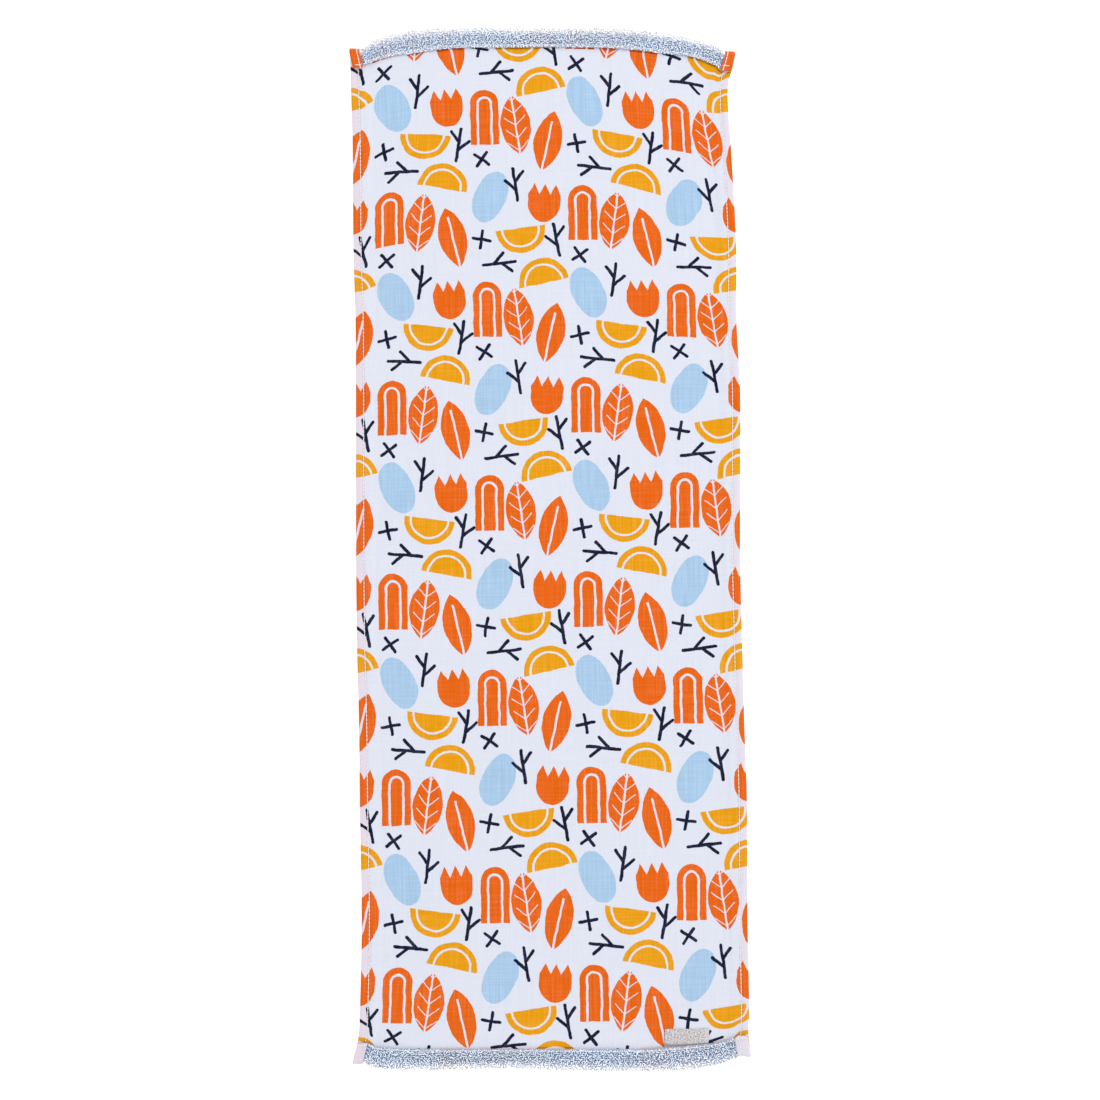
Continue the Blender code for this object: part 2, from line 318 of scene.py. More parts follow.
def bow(x, y):
    """How far a point moves along the towel: with the bow of its ends, which dies away into the
    towel, the waves of their folds, and the pull in its corners."""
    moved = -np.sign(y) * corner_pull(x, y)
    for arc in BOWS:
        held = 1 - smooth((HALF_LENGTH - arc["end"] * y) / arc["reach"])
        drop = np.where(x < 0, arc["left_drop"], arc["right_drop"])
        power = np.where(x < 0, arc["left_power"], arc["right_power"])
        share = np.minimum(np.abs(x) / HALF_WIDTH, STRIP_SHARE)
        moved += held * (arc["slope"] * x - arc["end"] * drop * share**power)
    for wave in WAVES:
        held = smooth(1 - (HALF_LENGTH - wave["end"] * y) / WAVE_REACH)
        moved -= wave["end"] * held * wave["depth"] * share_across(x, wave)
    return moved


def turned_corner(s, t, x):
    """How far outwards a point of a turned-over corner moves: its strip narrows towards its outer
    edge, and the layer slants in, the more the further it is from the fold."""
    near_side = smooth((np.abs(x) - (HALF_WIDTH - SIDE_HEM - SLANT_EASE)) / SLANT_EASE)
    over = smooth((np.abs(t) - END_FLAT) / FOLD_LENGTH)
    narrowed = (1 - corner_values(s, t, "strip")) * past_fold(s, SIDE_FLAT) * over
    return narrowed - corner_values(s, t, "slant") * past_fold(t, END_FLAT) * near_side


def hem_depth(x, t):
    """How far a point of a turned-over hem moves along the towel, where the hem is deeper: by a
    share that grows from the fold to the cut edge."""
    turned = past_fold(t, END_FLAT) / end_hem(t)
    moved = 0 * x * t
    for place in DEPTHS:
        deeper = place["deeper"] * share_across(x, place)
        moved = moved - place["end"] * (place["end"] * t > 0) * deeper * turned
    return moved


def outline(x, y):
    """Moves a point of the straight towel to where the uneven one has it."""
    left, right = (through(SIDES["y"], SIDES[side], y) for side in ("left", "right"))
    return x * np.where(x < 0, left, right) / HALF_WIDTH, y + bow(x, y)


def fold_and_lay(s, t, n):
    """Folds a point of the flat cloth, lifts it by what lies under it, and moves it to the outline."""
    x, height = fold_under(s, n)
    y, height, over = fold_over(t, height)
    z = thickness(x, y) / 2 + lift(x, y) + height + over * label_room(x, y)
    x, y = outline(x + np.where(s < 0, -1, 1) * turned_corner(s, t, x), y + hem_depth(x, t))
    return np.stack([x, y, z], axis=-1)


# %% [markdown]
# The frame's box is centred on the finished towel. Laying a coarse grid of both faces shows where
# this towel's own box would be, and the difference between the two centres moves it into place.

# %% Centre the towel in the frame
def both_faces(s, t):
    """Half the cloth's thickness at flat points, which is how far its two faces lie from n = 0."""
    x, _ = fold_under(s, 0 * s)
    y, _, _ = fold_over(t, 0 * t)
    return thickness(x, y) / 2


trial_s, trial_t = np.meshgrid(
    np.linspace(-SIDE_CUT, SIDE_CUT, 301),
    np.linspace(-BOTTOM_CUT, TOP_CUT, 801),
)
half = both_faces(trial_s, trial_t)
trial = np.stack([fold_and_lay(trial_s, trial_t, side * half) for side in (-1, 1)]).reshape(-1, 3)
trial_low, trial_high = trial.min(0), trial.max(0)
SHIFT = (np.array(cloth_low) + np.array(cloth_high)) / 2 - (trial_low + trial_high) / 2
SHIFT[2] = cloth_low[2] - trial_low[2]
print("moved by, mm:", np.round(1000 * SHIFT, 2))


def laid(s, t, n):
    """Where points of the flat cloth lie on the finished towel, in the frame."""
    return fold_and_lay(s, t, n) + SHIFT


# %% [markdown]
# ## Grids and meshes
#
# A sheet is a grid of flat points. Its stations are close together round the folds and further
# apart in the body, so that few faces are spent where the cloth is plain.

# %% Stations of the grid
def stations(zones):
    """Stations from 0 on: each zone gives where it ends and about how far apart its stations are."""
    runs = [np.zeros(1)]
    start = 0.0
    for end, spacing in zones:
        count = max(1, round((end - start) / spacing))
        runs.append(start + (end - start) * np.arange(1, count + 1) / count)
        start = end
    return np.concatenate(runs)


def across_stations(spacing):
    """From the middle to a side's cut edge: fine at the seam, on both layers of the hem."""
    seam = 1.6 * MM
    half = stations(
        (
            (SEAM_S - 14 * MM, spacing),
            (SEAM_S - seam, 1.3 * MM),
            (SEAM_S + seam, 0.4 * MM),
            (SIDE_FLAT, 1.1 * MM),
            (SIDE_FLAT + FOLD_LENGTH, FOLD_LENGTH / 8),
            (STRIP_SEAM_S - seam, 1.7 * MM),
            (SIDE_CUT - 0.6 * MM, 0.4 * MM),
            (SIDE_CUT, 0.2 * MM),
        )
    )
    return np.concatenate([-half[:0:-1], half])


def along_stations(spacing):
    """From the bottom's cut edge to the top's: fine near the hems and round the folds."""
    bottom, top = (
        stations(
            (
                (inner - 12 * MM, spacing),
                (inner, 1.2 * MM),
                (END_FLAT, 1.1 * MM),
                (END_FLAT + FOLD_LENGTH, FOLD_LENGTH / 8),
                (cut - 5.6 * MM, 1.5 * MM),
                (cut - 0.6 * MM, 0.5 * MM),
                (cut, 0.2 * MM),
            )
        )
        for inner, cut in ((INNER_BOTTOM, BOTTOM_CUT), (INNER_TOP, TOP_CUT))
    )
    return np.concatenate([-bottom[:0:-1], top])


FACE_S, FACE_T = np.meshgrid(across_stations(2.7 * MM), along_stations(2.1 * MM))
BACK_S, BACK_T = np.meshgrid(across_stations(4.5 * MM), along_stations(4.0 * MM))
print("grids of the cloth:", FACE_S.shape, "and", BACK_S.shape, "points")


# %% From arrays to a mesh
def placed(name, data):
    """A new object of the scene, from its mesh, light or camera."""
    made = bpy.data.objects.new(name, data)
    bpy.context.scene.collection.objects.link(made)
    return made


def make_mesh(name, points, faces, cloth_uv=None, values=None):
    """Puts points, faces of three or four corners, flat-cloth positions and named values per point
    into a smooth mesh."""
    mesh = bpy.data.meshes.new(name)
    mesh.vertices.add(len(points))
    mesh.vertices.foreach_set("co", np.ascontiguousarray(points, np.float32).ravel())
    corners = np.concatenate([np.asarray(part).ravel() for part in faces])
    sizes = np.concatenate([np.full(len(part), part.shape[1]) for part in faces])
    mesh.loops.add(len(corners))
    mesh.loops.foreach_set("vertex_index", corners.astype(np.int32))
    mesh.polygons.add(len(sizes))
    mesh.polygons.foreach_set("loop_start", (np.cumsum(sizes) - sizes).astype(np.int32))
    mesh.update(calc_edges=True)
    if cloth_uv is not None:
        layer = mesh.uv_layers.new(name="cloth")
        layer.uv.foreach_set("vector", cloth_uv[corners].astype(np.float32).ravel())
    for label, column in (values or {}).items():
        mesh.attributes.new(label, "FLOAT", "POINT").data.foreach_set("value", column.astype(np.float32))
    mesh.validate()
    mesh.shade_smooth()
    print(name, "has", int((sizes - 2).sum()), "triangles")
    return placed(name, mesh)


def grid_faces(rows, columns, flip=False):
    """The quads of a grid whose points are stored row by row."""
    corner = (np.arange(rows - 1)[:, None] * columns + np.arange(columns - 1)).ravel()
    quads = np.stack([corner, corner + 1, corner + columns + 1, corner + columns], axis=1)
    return quads[:, ::-1] if flip else quads


# %% [markdown]
# ## Unevenness
#
# Sewn cloth is drawn up a little along each seam, which leaves small puckers across it, and soft
# cloth is never quite even elsewhere. Both come from smooth noise: random heights on a coarse
# lattice with a smooth surface drawn between them, always from the same seed.

# %% Smooth noise
def soft_noise(u, v, cell_u, cell_v, seed):
    """From -1 to 1: random values at the corners of a lattice, blended by smooth ramps."""
    gu = u / cell_u + 1000
    gv = v / cell_v + 1000
    iu = np.floor(gu).astype(int)
    iv = np.floor(gv).astype(int)
    lattice = np.random.default_rng(seed).uniform(-1, 1, (512, 512))

    def value(du, dv):
        return lattice[(iu + du) % 512, (iv + dv) % 512]

    ku = smooth(gu - iu)
    kv = smooth(gv - iv)
    low = value(0, 0) * (1 - ku) + value(1, 0) * ku
    high = value(0, 1) * (1 - ku) + value(1, 1) * ku
    return low * (1 - kv) + high * kv


# %% Seam grooves and puckers
def near(distance, width):
    """A bell: 1 at no distance, and almost nothing two widths away."""
    return np.exp(-((distance / width) ** 2))


def from_cut(t):
    """How far a flat point lies from the cut edge of its end."""
    return np.where(t > 0, TOP_CUT - t, BOTTOM_CUT + t)


def face_relief(s, t):
    """How far the gauze stands off its plain height: a groove along each seam, puckers that die
    away from it, a soft crinkle, and all of it calmer where a layer lies on it. The end of a
    corner's strip has a rolled edge, with a groove where it starts."""
    x_seam = np.abs(s) - SEAM_S
    y_edge = HALF_LENGTH - end_hem(t) - np.abs(t)
    in_body = smooth(y_edge / (3 * MM)) * smooth((SIDE_FLAT - np.abs(s)) / (1.5 * MM))
    groove = -0.42 * near(x_seam, 0.75 * MM)
    strip_groove = -0.35 * near(np.abs(s) - STRIP_SEAM_S, 0.7 * MM)
    hem_roll = 0.22 * near(x_seam - 3.6 * MM, 2.0 * MM)
    side_fade = np.exp(-np.abs(x_seam) / np.where(x_seam < 0, 6 * MM, 3 * MM))
    side_pucker = 0.30 * soft_noise(t, s, 4.2 * MM, 30 * MM, 3) * side_fade
    end_fade = np.exp(-np.maximum(y_edge, 0) / (9 * MM))
    end_pucker = 0.42 * soft_noise(s, t, 5.5 * MM, 40 * MM, 5) * end_fade
    crinkle = 0.10 * soft_noise(s, t, 9 * MM, 14 * MM, 7) + 0.05 * soft_noise(s, t, 4.5 * MM, 5 * MM, 8)
    on_strip = smooth((np.abs(s) - SIDE_FLAT - 1 * MM) / (1 * MM))
    on_strip *= smooth((np.abs(t) - END_FLAT) / FOLD_LENGTH)
    end_roll = 0.30 * near(from_cut(t) - 2.0 * MM, 1.1 * MM) - 0.30 * near(from_cut(t) - 3.9 * MM, 0.8 * MM)
    body = (groove + hem_roll + side_pucker + end_pucker + crinkle) * in_body
    return MM * (body + strip_groove + end_roll * on_strip)


FACE_RELIEF = face_relief(FACE_S, FACE_T)
print("relief of the face, mm:", round(FACE_RELIEF.min() / MM, 2), "to", round(FACE_RELIEF.max() / MM, 2))


# %% [markdown]
# ## Building materials out of small parts
#
# A shader is a net of small sums. Writing each node by hand is slow to read, so what a node gives
# is wrapped as a signal that can be summed like a plain number: every +, -, * or / adds one node
# and gives its signal. A group is a net with its own named inputs and outputs, made once and used
# in many materials.

# %% Signals
def adding(operation):
    """A method that adds one node of this operation after a signal."""

    def method(self, *others):
        return self.by(operation, *others)

    return method


class Signal:
    """What a node gives. A number goes on to maths nodes, and a vector or colour to vector ones."""

    def __init__(self, net, socket):
        self.net = net
        self.socket = socket

    def by(self, operation, *others):
        """This signal after one more node, which may take other signals or numbers too."""
        kind = "ShaderNodeMath" if self.socket.type == "VALUE" else "ShaderNodeVectorMath"
        output = "Value" if kind == "ShaderNodeMath" or operation == "LENGTH" else "Vector"
        return self.net.node(kind, dict(enumerate((self, *others))), output, operation=operation)

    __add__ = adding("ADD")
    __sub__ = adding("SUBTRACT")
    __mul__ = adding("MULTIPLY")
    __truediv__ = adding("DIVIDE")
    __abs__ = adding("ABSOLUTE")
    at_least = adding("MAXIMUM")
    at_most = adding("MINIMUM")

    def __neg__(self):
        return self * -1.0

    def __rsub__(self, number):
        return -self + number

    def ramp(self, start, end, low=0.0, high=1.0):
        """A smooth step between start and end."""
        inputs = {"Value": self, "From Min": start, "From Max": end, "To Min": low, "To Max": high}
        return self.net.node("ShaderNodeMapRange", inputs, "Result", interpolation_type="SMOOTHSTEP")

    def beside(self, name):
        """Another output of the same node."""
        return Signal(self.net, self.socket.node.outputs[name])


# %% Nets and groups
class Net:
    """Adds nodes to one node tree. Every method but feed gives signals."""

    def __init__(self, tree):
        self.tree = tree

    def feed(self, socket, value):
        if isinstance(value, Signal):
            self.tree.links.new(value.socket, socket)
        else:
            socket.default_value = value

    def node(self, kind, inputs=None, output=0, **settings):
        made = self.tree.nodes.new(kind)
        for name, value in settings.items():
            setattr(made, name, value)
        for name, value in (inputs or {}).items():
            self.feed(made.inputs[name], value)
        return Signal(self, made.outputs[output])

    def split(self, vector):
        x = self.node("ShaderNodeSeparateXYZ", {"Vector": vector})
        return x, x.beside("Y")

    def join(self, x, y):
        return self.node("ShaderNodeCombineXYZ", {"X": x, "Y": y})

    def mix(self, share, first, second):
        """The first colour, turned into the second by a share from 0 to 1."""
        made = self.tree.nodes.new("ShaderNodeMix")
        made.data_type = "RGBA"
        for name, value in (("Factor_Float", share), ("A_Color", first), ("B_Color", second)):
            self.feed(next(x for x in made.inputs if x.identifier == name), value)
        return Signal(self, next(x for x in made.outputs if x.identifier == "Result_Color"))

    def noise(self, place, scale, detail=2.0, roughness=0.5, output="Fac"):
        inputs = {"Vector": place, "Scale": scale, "Detail": detail, "Roughness": roughness}
        return self.node("ShaderNodeTexNoise", inputs, output)

    def cloth(self):
        """The place on the flat cloth, in metres."""
        return self.node("ShaderNodeUVMap", uv_map="cloth")

    def attribute(self, name):
        return self.node("ShaderNodeAttribute", output="Fac", attribute_name=name)

    def use(self, group, **inputs):
        """A group's signals by name."""
        made = self.tree.nodes.new("ShaderNodeGroup")
        made.node_tree = group
        for name, value in inputs.items():
            self.feed(made.inputs[name], value)
        return {socket.name: Signal(self, socket) for socket in made.outputs}


OUTPUT_KINDS = {"Colour": "NodeSocketColor", "Place": "NodeSocketVector"}
NO_PLACE = (0.0, 0.0, 0.0)


def new_group(name, inputs, build):
    """A group whose inputs are given by name with their first values. From their signals, build
    works out the signals of its outputs by name."""
    tree = bpy.data.node_groups.new(name, "ShaderNodeTree")
    for label, value in inputs.items():
        kind = "NodeSocketVector" if isinstance(value, tuple) else "NodeSocketFloat"
        tree.interface.new_socket(label, in_out="INPUT", socket_type=kind).default_value = value
    net = Net(tree)
    given = tree.nodes.new("NodeGroupInput").outputs
    made = build(net, *(Signal(net, given[label]) for label in inputs))
    for label in made:
        kind = OUTPUT_KINDS.get(label, "NodeSocketFloat")
        tree.interface.new_socket(label, in_out="OUTPUT", socket_type=kind)
    wanted = tree.nodes.new("NodeGroupOutput").inputs
    for label, signal in made.items():
        net.feed(wanted[label], signal)
    print("the group", name, "has", len(tree.nodes), "nodes")
    return tree


# %% Colours and materials
def colour(red, green, blue):
    """A colour as seen on a screen, 0 to 255, turned into the light that Blender sums."""
    seen = np.array([red, green, blue]) / 255
    light = np.where(seen <= 0.04045, seen / 12.92, ((seen + 0.055) / 1.055) ** 2.4)
    return (*light.tolist(), 1.0)


CLOTH_FINISH = {"Specular IOR Level": 0.2, "Sheen Roughness": 0.6}


def new_material(name, finish):
    """A cloth material: its net and its Principled shader. The plain numbers of its finish stay on
    the shader's own sockets."""
    material = bpy.data.materials.new(name)
    material.use_nodes = True
    shader = material.node_tree.nodes["Principled BSDF"]
    for label, value in (CLOTH_FINISH | finish).items():
        shader.inputs[label].default_value = value
    return material, Net(material.node_tree), shader


def dress(net, shader, shade, height, depth):
    """Gives the shader its colour, and turns a height, times its depth in metres, into its normal."""
    net.feed(shader.inputs["Base Color"], shade)
    bump = {"Height": height, "Distance": depth, "Strength": 1.0}
    net.feed(shader.inputs["Normal"], net.node("ShaderNodeBump", bump, "Normal"))


# %% [markdown]
# ## The print
#
# The print is drawn with distances. For each motif a small group tells how far a point lies
# outside its outline, in millimetres, and less than nothing inside it. Distances join easily: the
# smaller of two draws both shapes, and the larger of one and another turned inside out cuts a line
# from it. A drawing made this way has clean edges at any size, and it needs no picture.
#
# The motifs are plain cut-paper ones: leaves, an arch, a tulip, a half moon, a pebble, a twig and a
# cross. Each is a sum of x and y from its own centre.

# %% Shapes of the motifs
def length(x, y):
    """How far (x, y) lies from (0, 0)."""
    return x.net.join(x, y).by("LENGTH")


def cut(shape, hole):
    """The shape without the hole: the larger of the first distance and the second turned round."""
    return shape.at_least(-hole)


def leaf_outline(x, y, half_width, half_length):
    """Where two circles overlap. Each passes through both tips and the far side of the leaf."""
    radius = (half_length**2 + half_width**2) / (2 * half_width)
    return length(abs(x) + (radius - half_width), y) - radius


def leaf(x, y):
    """A pointed leaf with one straight cut along its middle."""
    middle = (abs(y + 6.0) - 24.0).at_least(abs(x) - 0.9)
    return cut(leaf_outline(x, y, 12.0, 27.0), middle)


def veined_leaf(x, y):
    """A pointed leaf with a middle cut, and side veins that slope up from it at an even pitch."""
    aside = abs(x)
    repeated = (y - aside * 0.9).by("WRAP", 5.0, -6.0)
    vein = (abs(repeated + 0.5) - 0.5).at_least(aside - 9.2)
    return cut(cut(leaf_outline(x, y, 13.0, 26.0), aside - 0.8), vein)


def arch(x, y):
    """A round-topped arch: below its centre only x counts. A line that follows it is cut out."""
    half_width, half_height = 12.5, 24.0
    from_middle = length(x, (y - (half_height - half_width)).at_least(0.0))
    outer = (from_middle - half_width).at_least(-y - half_height)
    return cut(outer, abs(from_middle - 0.48 * half_width) - 1.0)


def tulip(x, y):
    """A cup, round below and straight above, with its top cut to three points."""
    half_width, height = 14.0, 16.0
    below = (y + 2.0).at_most(0.0)
    cup = length(x, below * (half_width / height)) - half_width
    points = (x + 3 * half_width).by("PINGPONG", half_width / 3)
    return cup.at_least(y - (points * 2.0 + 6.0))


def half_moon(x, y):
    """Half a disc, with a thin ring cut out of it near its rim."""
    radius = 22.0
    raised = y + 0.4 * radius
    from_centre = length(x, raised)
    half = (from_centre - radius).at_least(-raised)
    return cut(half, abs(from_centre - 0.74 * radius) - 0.9)


def pebble(x, y):
    """A long oval whose middle line sways from side to side by a sine of its length."""
    sway = (y / 14.0).by("SINE") * 2.5
    return (length((x + sway) / 14.0, y / 23.0) - 1.0) * 14.0


STROKE_HALF_WIDTH = 1.4


def strokes(*pairs):
    """Round-ended strokes, each given by its two ends: the distance to the nearest point of any."""

    def draw(x, y):
        found = None
        for (x0, y0), (x1, y1) in pairs:
            run_x, run_y = x1 - x0, y1 - y0
            past_x, past_y = x - x0, y - y0
            share = (past_x * run_x + past_y * run_y) / (run_x**2 + run_y**2)
            share = share.at_least(0.0).at_most(1.0)
            distance = length(past_x - share * run_x, past_y - share * run_y) - STROKE_HALF_WIDTH
            found = distance if found is None else found.at_most(distance)
        return found

    return draw


def motif_group(name, draw):
    def build(net, place):
        return {"Distance": draw(*net.split(place))}

    return new_group("motif " + name, {"Place": NO_PLACE}, build)


DRAWINGS = {
    "leaf": leaf,
    "veined leaf": veined_leaf,
    "arch": arch,
    "tulip": tulip,
    "half moon": half_moon,
    "pebble": pebble,
    "twig": strokes(((0, -14), (0, 14)), ((0, -5), (8.5, 4.5)), ((0, 2), (-8, 10.5))),
    "cross": strokes(((-7.5, 0), (7.5, 0)), ((0, -7.5), (0, 7.5))),
}
MOTIFS = {name: motif_group(name, draw) for name, draw in DRAWINGS.items()}
print("motifs drawn:", ", ".join(MOTIFS))

# %% [markdown]
# The motifs stand in a half drop, as in many prints: each column repeats the one beside it half a
# repeat lower, and here every second column is mirrored too. A small group does that for each
# motif. It finds the nearest copy of the motif's centre and gives the point's place beside it.

# %% The half drop
COLUMN = 84.0
REPEAT = 168.0
PRINT_ORIGIN = (62.0, 79.0, 0.0)

PLACINGS = table(
    ("ink", "motif", "x", "y", "turn"),
    (
        ("orange", "arch", -28, 40, 0),
        ("orange", "veined leaf", -1, 33, -8),
        ("orange", "leaf", 27, 19, 13),
        ("orange", "tulip", 23, -34, 5),
        ("yellow", "half moon", 20, 71, -12),
        ("yellow", "half moon", 3, -66, 172),
        ("blue", "pebble", -24, -30, 12),
        ("navy", "twig", -2, -19, -8),
        ("navy", "twig", -17, 80, 84),
        ("navy", "twig", 33, -68, -10),
        ("navy", "cross", -32, -67, 10),
        ("navy", "cross", -31, 3, 35),
    ),
)


def half_drop(net, place, centre, turn):
    """Columns away is x over the column's width, rounded. A motif that many columns away stands
    half a repeat lower for each, and mirrored in odd ones, and repeats along the column."""
    x, y = net.split(place - centre)
    away = (x / COLUMN).by("ROUND")
    shift = away * COLUMN
    mirror = away.by("PINGPONG", 1.0) * -2.0 + 1.0
    upright = net.join((x - shift) * mirror, (y - shift).by("WRAP", REPEAT / 2, -REPEAT / 2))
    turning = {"Vector": upright, "Angle": -turn}
    return {"Place": net.node("ShaderNodeVectorRotate", turning, rotation_type="Z_AXIS")}


HALF_DROP = new_group("half drop", {"Place": NO_PLACE, "Centre": NO_PLACE, "Turn": 0.0}, half_drop)

# %% [markdown]
# The four inks go on one over another. Screen-printed ink creeps along the threads, so its edge is
# not quite clean: a slow wobble stands for the hand-cut outline, and a fine one for the creep.

# %% The printed cloth as one group
INKS = {
    "blue": colour(157, 187, 215),
    "yellow": colour(217, 147, 0),
    "orange": colour(215, 93, 3),
    "navy": colour(4, 14, 45),
}
GAUZE_WHITE = colour(208, 211, 223)
HEM_ROSE = colour(213, 203, 214)
TO_MM = (1000.0, 1000.0, 0.0)
MIDDLE_GREY = (0.5, 0.5, 0.5)


def printed_cloth(net, cloth, edge):
    """The print's colour and how much ink lies there. Edge is how soft an outline is, in mm."""
    place = cloth * TO_MM
    slow = net.noise(place, 0.09, output="Color") - MIDDLE_GREY
    fine = net.noise(place, 1.1, 3.0, output="Color") - MIDDLE_GREY
    wobbled = place + slow * (2.2, 2.2, 0.0) + fine * (0.7, 0.7, 0.0) - PRINT_ORIGIN
    nearest = {}
    for motif in PLACINGS:
        centre = (motif["x"], motif["y"], 0.0)
        beside = net.use(HALF_DROP, Place=wobbled, Centre=centre, Turn=math.radians(motif["turn"]))
        distance = net.use(MOTIFS[motif["motif"]], Place=beside["Place"])["Distance"]
        nearest[motif["ink"]] = distance.at_most(nearest.get(motif["ink"], 1000.0))
    shade, ink = GAUZE_WHITE, 0.0
    for name, paint in INKS.items():
        mask = nearest[name].ramp(edge, -edge)
        shade = net.mix(mask, shade, paint)
        ink = mask.at_least(ink)
    return {"Colour": shade, "Ink": ink}


PRINTED_CLOTH = new_group("printed cloth", {"Cloth": NO_PLACE, "Edge": 0.18}, printed_cloth)

# %% [markdown]
# ## The gauze
#
# Gauze is an open plain weave. Each thread goes over one and under the next, so its surface is a
# chequer of small humps, the warp along the towel and the weft across it. Threads of hand-feel
# cotton vary in thickness, which shows as faint streaks both ways.

# %% Weave and streaks
def plain_weave(net, cloth, pitch):
    """Two sets of threads as waves: a warp thread is high where its own wave and its crossing wave
    agree, a weft thread where they don't. Height is the higher of the two."""
    bend = net.noise(cloth, 180.0, output="Color") - MIDDLE_GREY
    s, t = net.split(cloth + bend * (0.0011, 0.0011, 0.0))
    s_turns = s / pitch * math.pi
    t_turns = t / pitch * math.pi
    over = s_turns.by("COSINE") * t_turns.by("COSINE")
    warp = abs(s_turns.by("SINE")) * (over * 0.35 + 0.65)
    weft = abs(t_turns.by("SINE")) * (over * -0.35 + 0.65)
    along = net.noise(cloth * (760.0, 22.0, 0.0), 1.0)
    across = net.noise(cloth * (30.0, 640.0, 0.0), 1.0)
    return {"Height": warp.at_least(weft), "Streak": along * 1.2 + across * 0.8 - 1.0}


def sewn_places(net, cloth, under_band):
    """Fine puckers, as waves along each seam that die away from it, and painted crease shade: dark
    lines beside the side seams, under the bands' inner edges and along the side folds. Under Band
    is the distance to a band's inner edge, and all distances are in mm."""
    place = cloth * TO_MM
    s, t = net.split(place)
    sway = net.noise(place, 0.22)
    from_seam = abs(abs(s) - SEAM_S / MM)

    def waves(along, pitch, distance, reach):
        turns = along * (2 * math.pi / pitch) + sway * 14.0
        return turns.by("SINE") * (distance / -reach).by("EXPONENT")

    at_band = waves(s, 3.1, under_band.at_least(0.0), 4.5)
    # Painted shade: dark lines beside the side seams, under the bands' inner edges and along the side
    # folds.
    beside = abs(from_seam - 0.75).ramp(0.55, 0.05, 0.0, 0.55)
    under = abs(under_band - 0.8).ramp(1.2, 0.3)
    from_fold = abs(s) - (SIDE_FLAT + FOLD_LENGTH / 2) / MM
    turned_under = abs(from_fold).ramp(1.3, 0.3, 0.0, 0.35)
    painted_crease_shade = (beside.at_least(under) * sway).at_least(turned_under)
    return {"Pucker": waves(t, 2.3, from_seam, 3.2) + at_band, "Crease": painted_crease_shade}


PLAIN_WEAVE = new_group("plain weave", {"Cloth": NO_PLACE, "Pitch": 0.00055}, plain_weave)
SEWN_PLACES = new_group("sewn places", {"Cloth": NO_PLACE, "Under Band": 0.0}, sewn_places)


def gauze_material():
    """The print, paler where threads are thin and rosy on a bare hem. It is dimmed by the streaks, and
    by painted shade between the threads and in the creases, all more in the ink than on bare cloth."""
    finish = {"Roughness": 0.88, "Sheen Weight": 0.04, "Specular IOR Level": 0.1}
    material, net, shader = new_material("printed_gauze", finish)
    cloth = net.cloth()
    weave = net.use(PLAIN_WEAVE, Cloth=cloth)
    printed = net.use(PRINTED_CLOTH, Cloth=cloth)
    sewn = net.use(SEWN_PLACES, **{"Cloth": cloth, "Under Band": net.attribute("from_band")})
    ink, streak = printed["Ink"], weave["Streak"]
    shade = net.mix(net.attribute("hem") * (1.0 - ink), printed["Colour"], HEM_ROSE)
    shade = net.mix(streak * 0.12 + 0.004, shade, GAUZE_WHITE)
    uneven = streak * (ink * 0.20 + 0.09) + 1.0
    # Painted shade between the threads, where the weave is low.
    painted_weave_shade = weave["Height"].ramp(0.15, 0.75, 0.95, 1.008)
    # Painted shade in the creases, darker in the ink than on bare cloth.
    painted_crease_shade = sewn["Crease"] * (ink * -0.75 - 0.12) + 1.0
    height = weave["Height"] + streak * 0.5 + sewn["Pucker"] * 0.9
    dress(net, shader, shade * (uneven * painted_weave_shade * painted_crease_shade), height, 0.00012)
    return material


# %% [markdown]
# The gauze is the upper half of the cloth. Its sheet lies half the cloth's thickness above the
# middle and closes down to the middle at its cut edges, where it meets the terry.

# %% The gauze sheet
def edge_rounding(s, t):
    """1 inside, falling to a tenth at the cut edges along a quarter circle 0.6 mm wide."""
    room = np.minimum(SIDE_CUT - np.abs(s), from_cut(t))
    inward = np.clip(room / (0.6 * MM), 0, 1)
    return 0.1 + 0.9 * np.sqrt(1 - (1 - inward) ** 2)


def flat_uv(s, t):
    return np.stack([s.ravel(), t.ravel()], axis=1)


def gauze_sheet():
    """The sheet, with two values per point for its material: hem is 1 past the side seams, less at
    the right, and from_band is how far a point lies under a band's inner edge, in mm."""
    s, t = FACE_S, FACE_T
    height = both_faces(s, t) * edge_rounding(s, t)
    points = laid(s, t, height + FACE_RELIEF)
    hem = smooth((np.abs(s) - (SEAM_S - 1.5 * MM)) / (1.5 * MM)) * np.where(s < 0, 1.0, 0.65)
    edge = np.sign(t) * (HALF_LENGTH - end_hem(t))
    cut = np.where(t > 0, TOP_CUT, -BOTTOM_CUT)
    from_band = (edge + hem_depth(s, cut) - t) * np.sign(t) / MM
    return make_mesh(
        "gauze_face",
        points.reshape(-1, 3),
        [grid_faces(*s.shape)],
        flat_uv(s, t),
        {"hem": hem.ravel(), "from_band": from_band.ravel()},
    )


gauze = gauze_sheet()
gauze.data.materials.append(gauze_material())

# %% [markdown]
# ## The terry
#
# Terry is a ground cloth with loops of soft yarn standing on it. Over the whole back there would
# be over a hundred thousand loops, so there they are a bump: round cells the size of a loop, each
# with its own height. In the two bands that show on the face, every loop is real.

# %% The terry's colour
# The deep colour is painted shade for the roots of the pile. The pale one is painted light round the end
# folds, used at the cut edges too.
TERRY_BLUE = colour(228, 240, 255)
TERRY_ROOT_SHADE = colour(140, 165, 208)
TERRY_PALE = colour(250, 252, 255)
TERRY_UNEVEN = 0.43
PALE_REACH = 8.5 * MM


